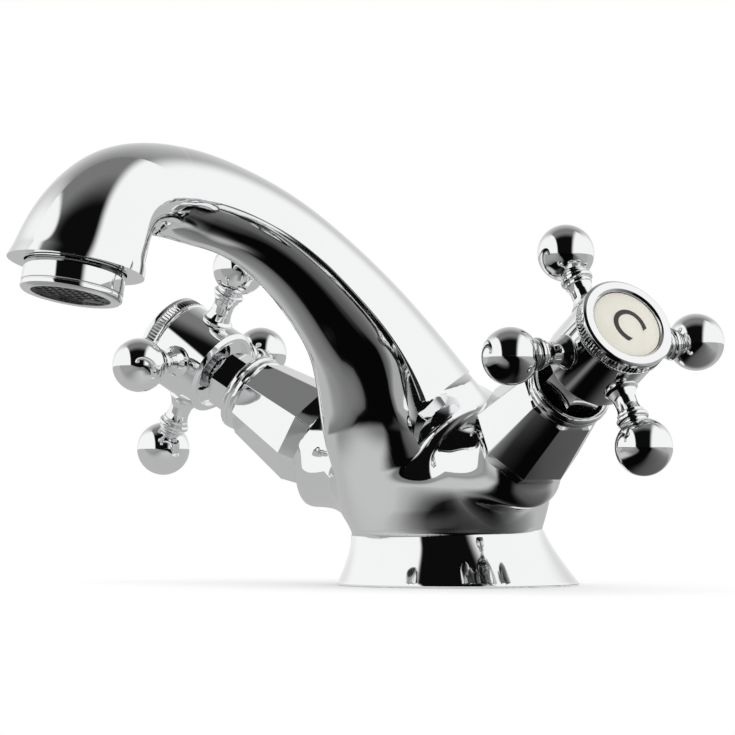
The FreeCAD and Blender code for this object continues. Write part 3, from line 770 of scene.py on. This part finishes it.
# handle arms: profile corners are (radius, distance from the hub's axis, rounding)
arm = dict(
    stem=(
        (0.0, 9.3, 0), (3.6, 9.3, 0.15), (3.75, 10.35, 0.35), (3.2, 10.95, 0.9), (2.5, 12.4, 1.6),
        (2.42, 14.3, 1.5), (2.75, 15.75, 0.3), (2.98, 15.85, 0.12), (2.98, 16.5, 0.12), (2.8, 16.6, 0.08),
        (3.2, 16.62, 0.1), (3.52, 16.95, 0.3), (3.52, 17.6, 0.3), (3.2, 17.95, 0.1), (2.8, 17.97, 0.08),
        (2.98, 18.05, 0.12), (2.98, 18.5, 0.12),
    ),
    ballAt=24.05, ballR=6.145, ballNeck=2.9, ballSteps=48, around=72,
)


def armProfile():
    line = roundOff(arm["stem"])
    r, steps = arm["ballR"], arm["ballSteps"]
    foot = math.acos(-math.sqrt(r ** 2 - arm["ballNeck"] ** 2) / r)
    for k in range(steps + 1):
        angle = foot * (1 - k / steps)
        line.append((r * math.sin(angle), arm["ballAt"] + r * math.cos(angle)))
    return line


hub = dict(
    corners=(
        (3.8, 70.2, 0), (8.3, 70.2, 0.15), (8.3, 69.0, 0.2), (9.35, 69.0, 0.25), (10.2, 69.85, 0.3),
        (10.2, 82.55, 0.12), (8.0, 82.6, 0),
    ),
    around=128,
)

# the ring's corners below and above the knurl; the band has places along it and the share of full teeth
indexRing = dict(
    lower=(
        (8.9, 82.6, 0), (9.85, 82.6, 0.15), (10.55, 82.95, 0.25), (10.55, 83.43, 0.1), (10.25, 83.53, 0.05),
    ),
    upper=(
        (10.25, 85.57, 0.05), (10.55, 85.67, 0.1), (10.55, 86.45, 0.3), (10.0, 86.9, 0.35),
        (8.42, 86.9, 0.12), (7.97, 86.4, 0.12), (7.97, 86.05, 0),
    ),
    band=((83.55, 0.35), (83.67, 1), (85.43, 1), (85.55, 0.35)), bandR=10.56,
    teeth=84, perTooth=6, depth=0.28,
)


def indexRingMesh():
    perTooth = indexRing["perTooth"]
    count = indexRing["teeth"] * perTooth
    circle = circleRing(count)
    tooth = np.abs((np.arange(count) % perTooth) / perTooth - 0.5) * 2  # 1 in the valley, 0 on the crest
    rings = [ringAt(circle, r, along) for r, along in roundOff(indexRing["lower"])]
    for along, share in indexRing["band"]:
        r = indexRing["bandR"] - indexRing["depth"] * (tooth * share + (1 - share))
        rings.append(ringAt(circle, r[:, None], along))
    return spin(rings + [ringAt(circle, r, along) for r, along in roundOff(indexRing["upper"])])


indexDisc = dict(
    r=7.9, foot=84.6, edge=86.2, crown=86.72, round=0.3, middleR=0.01, edgeSteps=6, crownSteps=24, around=128,
)


def indexDiscMesh():
    edge, corner, middleR = indexDisc["edge"], indexDisc["round"], indexDisc["middleR"]
    rise, top = indexDisc["crown"] - edge, indexDisc["r"] - corner
    line = [(middleR, indexDisc["foot"]), (indexDisc["r"], indexDisc["foot"])]
    for k in range(indexDisc["edgeSteps"] + 1):
        angle = math.pi / 2 * k / indexDisc["edgeSteps"]
        line.append((top + corner * math.cos(angle), edge - corner * (1 - math.sin(angle))))
    for k in range(1, indexDisc["crownSteps"] + 1):
        share = 1 - k / indexDisc["crownSteps"]
        line.append((max(top * share, middleR), edge + rise * (1 - share ** 2)))
    return lathe(line, indexDisc["around"])


letter = dict(
    size=10.5, thickness=0.05, bevel=0.02, fineness=8, lift=86.75,
    marks=dict(cold="C", hot="H"), turns=dict(cold=204.5, hot=270.0),
)


def letterMesh(text, turn):
    curve = bpy.data.curves.new("mark", "FONT")
    curve.body = text
    curve.size = letter["size"]
    curve.align_x, curve.align_y = "CENTER", "CENTER"
    curve.extrude, curve.bevel_depth = letter["thickness"], letter["bevel"]
    curve.resolution_u = letter["fineness"]
    holder = bpy.data.objects.new("mark", curve)
    bpy.context.scene.collection.objects.link(holder)
    bpy.context.view_layer.update()
    mesh = bpy.data.meshes.new_from_object(holder.evaluated_get(bpy.context.evaluated_depsgraph_get()))
    points = np.array([v.co[:] for v in mesh.vertices])
    faces = [tuple(p.vertices) for p in mesh.polygons]
    bpy.data.objects.remove(holder)
    bpy.data.curves.remove(curve)
    bpy.data.meshes.remove(mesh)
    middle = (points.min(0) + points.max(0)) / 2
    x, y = turned(points[:, 0] - middle[0], points[:, 1] - middle[1], turn)
    sag = (x * x + y * y) / indexDisc["r"] ** 2 * (indexDisc["crown"] - indexDisc["edge"])
    return np.column_stack([x, y, points[:, 2] + letter["lift"] - sag]), faces


# eight-sided cover: half widths over the flats, then the rolled rim and the mouth
shroud = dict(
    sides=8, corner=0.035, mouthR=7.95, inside=((9.7, 43.4), (9.7, 36.85)),
    flats=((10.3, 36.85), (10.45, 36.9), (11.42, 40.35), (11.5, 40.6), (11.44, 40.9), (8.95, 57.4)),
    rim=(
        (8.75, 57.9, 0), (9.05, 58.1, 0.15), (9.2, 58.5, 0.3), (9.2, 59.2, 0.3), (8.9, 59.62, 0.08),
        (9.15, 59.68, 0.1), (9.4, 60.1, 0.35), (9.4, 60.9, 0.45), (8.9, 61.38, 0.3), (8.3, 61.38, 0.3),
        (7.9, 60.9, 0.2), (7.9, 50.0, 0.2), (7.6, 50.0, 0),
    ),
)


def shroudMesh():
    eight = flatRing(shroud["sides"], shroud["corner"])
    circle = eight / np.linalg.norm(eight, axis=1, keepdims=True)
    rim = roundOff(shroud["rim"])
    rings = [ringAt(circle, r, along) for r, along in shroud["inside"]]
    rings += [ringAt(eight, r, along) for r, along in shroud["flats"]]
    mouth = len(rings) + min(k for k, place in enumerate(rim) if place[0] < shroud["mouthR"])
    points, faces = spin(rings + [ringAt(circle, r, along) for r, along in rim])
    return points, faces, mouth * len(eight)


housing = dict(
    corners=(
        (8.45, -5.2, 0), (8.45, -6.15, 0.12), (9.3, -6.2, 0.1), (9.55, -6.0, 0.1), (10.3, -6.2, 0.25),
        (10.78, -5.7, 0.3), (10.78, -4.85, 0.1), (10.62, -4.7, 0.06), (10.62, -4.55, 0.06),
        (10.78, -4.4, 0.1), (10.78, -0.55, 0.1), (10.55, -0.35, 0.1), (10.55, 4.5, 0), (9.15, 4.5, 0),
        (9.15, -5.2, 0),
    ),
    around=160,
)


def toNose(points):
    p = np.asarray(points, float)
    y, z = turned(p[:, 1], p[:, 2], -nose["tilt"])
    return np.column_stack([p[:, 0], y + nose["centre"][0], z + nose["centre"][1]])


points, faces = lathe(roundOff(housing["corners"]), housing["around"], closed=True)
makePiece("aerator_ring", toNose(points), faces, chrome, "chrome", "body", "aerator_housing")

for name, side in sides.items():
    moving, turn = name + "_handle", side * valve["turn"]
    points, faces, mouthFrom = shroudMesh()
    placed = onValve(points, side)
    stoodFor = name + "_shroud"
    cover = makePiece(name + "_valve_cover", placed, faces, chrome, "chrome", "body", stoodFor, sharp=18)
    # the inside of the mouth is painted near-black: painted shade in the recess
    paintShadeFrom(cover, mouthFrom)
    points, faces = lathe(roundOff(hub["corners"]), hub["around"])
    placed = onValve(points, side, turn)
    makePiece(name + "_handle_hub", placed, faces, chrome, "chrome", moving, name + "_hub")
    points, faces = indexRingMesh()
    placed = onValve(points, side, turn)
    stoodFor = name + "_index_ring"
    makePiece(name + "_knurled_ring", placed, faces, chrome, "chrome", moving, stoodFor, sharp=35)
    points, faces = indexDiscMesh()
    placed = onValve(points, side, turn)
    makePiece(name + "_porcelain_disc", placed, faces, glaze, "porcelain", moving, name + "_index_disc")
    points, faces = letterMesh(letter["marks"][name], letter["turns"][name])
    makePiece(name + "_mark", onValve(points, side, turn), faces, ink, "porcelain", moving)
    points, faces = lathe(armProfile(), arm["around"])
    for i in range(valve["arms"]):
        placed = onValve(alongArm(points, i), side, turn)
        stoodFor = f"{name}_arm_{i + 1}"
        makePiece(f"{name}_cross_arm_{i + 1}", placed, faces, chrome, "chrome", moving, stoodFor, sharp=40)
    print(name, "handle built")


# camera at the photograph's angle

eye = dict(
    azimuth=45.896, elevation=-1.227, distance=1.0, target=(-0.01428, -0.01473, 0.04894),
    lens=217.46939, sensor=36.0, clip=(0.05, 50.0),
)
az = math.radians(eye["azimuth"])


def awayFrom(azimuth, elevation):  # azimuths run from the front towards the cold side
    a, e = math.radians(azimuth), math.radians(elevation)
    return Vector((math.sin(a) * math.cos(e), -math.cos(a) * math.cos(e), math.sin(e)))


toEye = awayFrom(eye["azimuth"], eye["elevation"])
camera = bpy.data.objects.new("camera", bpy.data.cameras.new("camera"))
bpy.context.scene.collection.objects.link(camera)
camera.location = Vector(eye["target"]) + toEye * eye["distance"]
camera.rotation_euler = (-toEye).to_track_quat("-Z", "Y").to_euler()
camera.data.lens, camera.data.sensor_width = eye["lens"], eye["sensor"]
camera.data.clip_start, camera.data.clip_end = eye["clip"]
bpy.context.scene.camera = camera


# studio

def lightPathPick(tree):  # 1 for rays from the camera, mirrors and glass
    path = addNode(tree, "ShaderNodeLightPath")
    picked = path.outputs["Is Camera Ray"]
    for ray in ("Is Glossy Ray", "Is Transmission Ray"):
        most = addNode(tree, "ShaderNodeMath", operation="MAXIMUM")
        tree.links.new(picked, most.inputs[0])
        tree.links.new(path.outputs[ray], most.inputs[1])
        picked = most.outputs[0]
    return picked


def mixed(tree, share, first, second):
    mix = addNode(tree, "ShaderNodeMixShader")
    for socket, source in zip(mix.inputs, (share, first, second)):
        tree.links.new(source, socket)
    return mix.outputs[0]


studio = dict(
    fill=0.5, floorColour=(0.9, 0.9, 0.9), floorRough=0.9, floorHalf=6.0,
    shadowReach=0.05, shadowSamples=8, shadowTones=((0.0, 0.25), (0.5, 0.75), (0.92, 1.0)),
)


def makeWorld():
    world = bpy.data.worlds.new("studio")
    bpy.context.scene.world = world
    world.use_nodes = True
    tree = world.node_tree
    back = tree.nodes["Background"]
    back.inputs["Color"].default_value = (1, 1, 1, 1)
    tree.links.new(spread(tree, lightPathPick(tree), 0, 1, studio["fill"], 1.0), back.inputs["Strength"])


def makeFloor():  # white to the camera, darker where the object shades it
    half = studio["floorHalf"]
    mesh = bpy.data.meshes.new("floor")
    corners = [(-half, -half, 0), (half, -half, 0), (half, half, 0), (-half, half, 0)]
    mesh.from_pydata(corners, [], [(0, 1, 2, 3)])
    made, tree, shader = newMaterial("paleFloor")
    shader.inputs["Base Color"].default_value = (*studio["floorColour"], 1)
    shader.inputs["Roughness"].default_value = studio["floorRough"]
    shade = addNode(tree, "ShaderNodeAmbientOcclusion", samples=studio["shadowSamples"])
    shade.inputs["Distance"].default_value = studio["shadowReach"]
    glow = addNode(tree, "ShaderNodeEmission")
    tones = [(place, (tone, tone, tone)) for place, tone in studio["shadowTones"]]
    tree.links.new(ramp(tree, shade.outputs["AO"], tones), glow.inputs["Color"])
    surface = mixed(tree, lightPathPick(tree), shader.outputs[0], glow.outputs[0])
    tree.links.new(surface, tree.nodes["Material Output"].inputs["Surface"])
    mesh.materials.append(made)
    floor = bpy.data.objects.new("floor", mesh)
    bpy.context.scene.collection.objects.link(floor)


def makeCard(name, points, faces, shades, cover=None):  # a studio card that only polished metal sees
    mesh = bpy.data.meshes.new(name)
    mesh.from_pydata([tuple(p) for p in points], [], faces)
    layer = mesh.color_attributes.new("shade", "FLOAT_COLOR", "POINT")
    solid = np.ones(len(shades)) if cover is None else cover
    layer.data.foreach_set("color", np.column_stack([shades, shades, shades, solid]).ravel().tolist())
    made, tree, shader = newMaterial(name)
    tree.nodes.remove(shader)
    paint = addNode(tree, "ShaderNodeAttribute", attribute_name="shade")
    glow = addNode(tree, "ShaderNodeEmission")
    tree.links.new(paint.outputs["Color"], glow.inputs["Color"])
    surface = glow.outputs[0]
    if cover is not None:  # soft edges and a clear back
        share = addNode(tree, "ShaderNodeMath", operation="SUBTRACT", use_clamp=True)
        tree.links.new(paint.outputs["Alpha"], share.inputs[0])
        tree.links.new(addNode(tree, "ShaderNodeNewGeometry").outputs["Backfacing"], share.inputs[1])
        clear = addNode(tree, "ShaderNodeBsdfTransparent").outputs[0]
        surface = mixed(tree, share.outputs[0], clear, surface)
    tree.links.new(surface, tree.nodes["Material Output"].inputs["Surface"])
    mesh.materials.append(made)
    card = bpy.data.objects.new(name, mesh)
    bpy.context.scene.collection.objects.link(card)
    card.visible_camera = card.visible_diffuse = card.visible_shadow = card.visible_transmission = False


tent = dict(
    r=3.0, turns=360, rises=120, slotLeft=(-0.60, -0.54), slotRight=(0.30, 0.52), low=0.004, high=0.2,
    highTips=(-28, 0), ridgeTips=(20, 45, 90), ridgeShades=(0.25, 0.5, 0.9), ridgeEnds=(0.42, 0.75),
)


def makeTent():  # white tent with a dark slot from behind the camera to overhead, and a dark ridge after it
    turn = np.linspace(-180, 180, tent["turns"], endpoint=False)
    lift = np.linspace(0, 90, tent["rises"])
    a, e = np.radians(np.meshgrid(turn, lift))
    aside = np.cos(e) * np.sin(a)
    tip = np.degrees(np.arctan2(-np.cos(e) * np.cos(a), np.sin(e)))  # 0 overhead, 90 at the back
    slot = easeFrom(aside, *tent["slotLeft"]) * (1 - easeFrom(aside, *tent["slotRight"]))
    depth = tent["low"] + (tent["high"] - tent["low"]) * easeFrom(tip, *tent["highTips"])
    ridge = np.interp(tip, tent["ridgeTips"], tent["ridgeShades"])
    ridge = ridge + (1 - ridge) * easeFrom(np.abs(aside), *tent["ridgeEnds"])
    shade = np.where(tip > tent["ridgeTips"][0], ridge, 1 - slot * (1 - depth))
    world = a + az
    points = np.stack([np.sin(world) * np.cos(e), -np.cos(world) * np.cos(e), np.sin(e)], -1)
    faces = gridFaces(tent["rises"], tent["turns"], around=True)
    makeCard("tent", points.reshape(-1, 3) * tent["r"], faces, shade.ravel())


def overFloor(u, v, lift):  # from mm to the right of and towards the camera
    x, y = u * math.cos(az) + v * math.sin(az), u * math.sin(az) - v * math.cos(az)
    return np.stack([x, y, np.full(v.shape, lift)], -1).reshape(-1, 3) * mm


def softBand(u, left, right, soft):  # 1 between the two edges
    return ease((u - left) / soft / 2 + 0.5) * ease((right - u) / soft / 2 + 0.5)


# the sheet under the object, in mm to the right of and towards the camera, seen only by polished metal; it is
# painted light and shade of the floor: a light pool near the object, darker tones farther out, and a dark
# strip, a painted reflection of the dark slot, that runs up to the camera
mat = dict(
    towards=(0, 70, 130, 170, 230, 400, 2900),
    left=(-20, -16, -2, -8, -36, -160, -1700), right=(20, 28, 57, 81, 117, 200, 1100),
    soft=9, strip=0.002, stripEnd=40, lift=0.4, fine=400, fineSteps=161, coarse=(420, 2900), coarseSteps=24,
    leftFar=(0, 60, 170), leftTones=(0.17, 0.27, 0.36), rightFar=(0, 60, 150), rightTones=(0.07, 0.17, 0.42),
    nearTone=0.5, near=(30, -25), pool=0.58, poolFar=(35, 110), poolNear=(130, 70),
)


def makeMat():
    fine = np.linspace(-mat["fine"], mat["fine"], mat["fineSteps"])
    coarse = np.geomspace(*mat["coarse"], mat["coarseSteps"])
    steps = np.concatenate([-coarse[::-1], fine, coarse])
    u, v = np.meshgrid(steps, steps)
    left, right = [np.interp(v, mat["towards"], mat[edge]) for edge in ("left", "right")]
    # painted reflection: the dark strip
    strip = softBand(u, left, right, mat["soft"]) * ease(v / mat["stripEnd"])
    side = easeFrom(u, left, right)
    # painted light: a light pool on the left, near the object
    pool = easeFrom(v, *mat["poolNear"]) * (1 - easeFrom(left - u, *mat["poolFar"]))
    leftTone = np.interp(left - u, mat["leftFar"], mat["leftTones"])
    leftTone = leftTone + (mat["pool"] - leftTone) * pool
    tone = leftTone * (1 - side) + np.interp(u - right, mat["rightFar"], mat["rightTones"]) * side
    # painted light: lighter close to the object
    tone = tone + (mat["nearTone"] - tone) * easeFrom(v, *mat["near"])
    shade = tone + (mat["strip"] - tone) * strip
    makeCard("mat", overFloor(u, v, mat["lift"]), gridFaces(*v.shape), shade.ravel())


# a small dark flag over the sheet, in the same directions, which only the spout's underside looks down on
flag = dict(
    lift=30.0, across=(-66, -46, -40, -34, -26, -16, 16), near=(0, 0, 22, 34, 40, 44, 44), far=110,
    acrossSteps=120, awaySteps=60, fadeLeft=16, fadeRight=12, fadeNear=12, fadeFar=22, black=0.002, soft=3,
    towards=(30, 48, 60, 84, 100), left=(-35, -37, -32, -30, -24), right=(-24, -12, -2, 12, 20),
    leftFar=(0, 8, 20), leftTones=(0.09, 0.19, 0.26), rightFar=(0, 6, 25), rightTones=(0.02, 0.04, 0.1),
)


def makeFlag():
    first, last = flag["across"][0], flag["across"][-1]
    u = np.linspace(first, last, flag["acrossSteps"])
    near = np.interp(u, flag["across"], flag["near"])
    v = near + (flag["far"] - near) * np.linspace(0, 1, flag["awaySteps"])[:, None]
    u = np.broadcast_to(u, v.shape)
    left, right = [np.interp(v, flag["towards"], flag[edge]) for edge in ("left", "right")]
    leftTone = np.interp(left - u, flag["leftFar"], flag["leftTones"])
    tone = np.where(u < left, leftTone, np.interp(u - right, flag["rightFar"], flag["rightTones"]))
    shade = tone + (flag["black"] - tone) * softBand(u, left, right, flag["soft"])
    cover = ease((u - first) / flag["fadeLeft"]) * ease((last - u) / flag["fadeRight"])
    cover = cover * ease((v - near) / flag["fadeNear"]) * ease((flag["far"] - v) / flag["fadeFar"])
    faces = [(a, d, c, b) for a, b, c, d in gridFaces(*v.shape)]  # turned over, so that the front looks up
    makeCard("flag", overFloor(u, v, flag["lift"]), faces, shade.ravel(), cover.ravel())


# azimuth from the camera, elevation, distance, size, power
lamps = dict(left=(-75, 30, 1.6, 1.0, 10), right=(70, 30, 1.6, 1.0, 10), top=(180, 72, 1.6, 1.0, 7))


def makeLamps():
    for name, (turn, lift, far, size, power) in lamps.items():
        light = bpy.data.lights.new(name, "AREA")
        light.shape, light.size, light.energy = "SQUARE", size, power
        lamp = bpy.data.objects.new(name, light)
        away = awayFrom(eye["azimuth"] + turn, lift)
        lamp.location = away * far
        lamp.rotation_euler = away.to_track_quat("Z", "Y").to_euler()
        lamp.visible_glossy = False
        bpy.context.scene.collection.objects.link(lamp)


makeWorld()
makeFloor()
makeTent()
makeMat()
makeFlag()
makeLamps()
bpy.context.scene.view_settings.view_transform = "Standard"
print("studio ready")
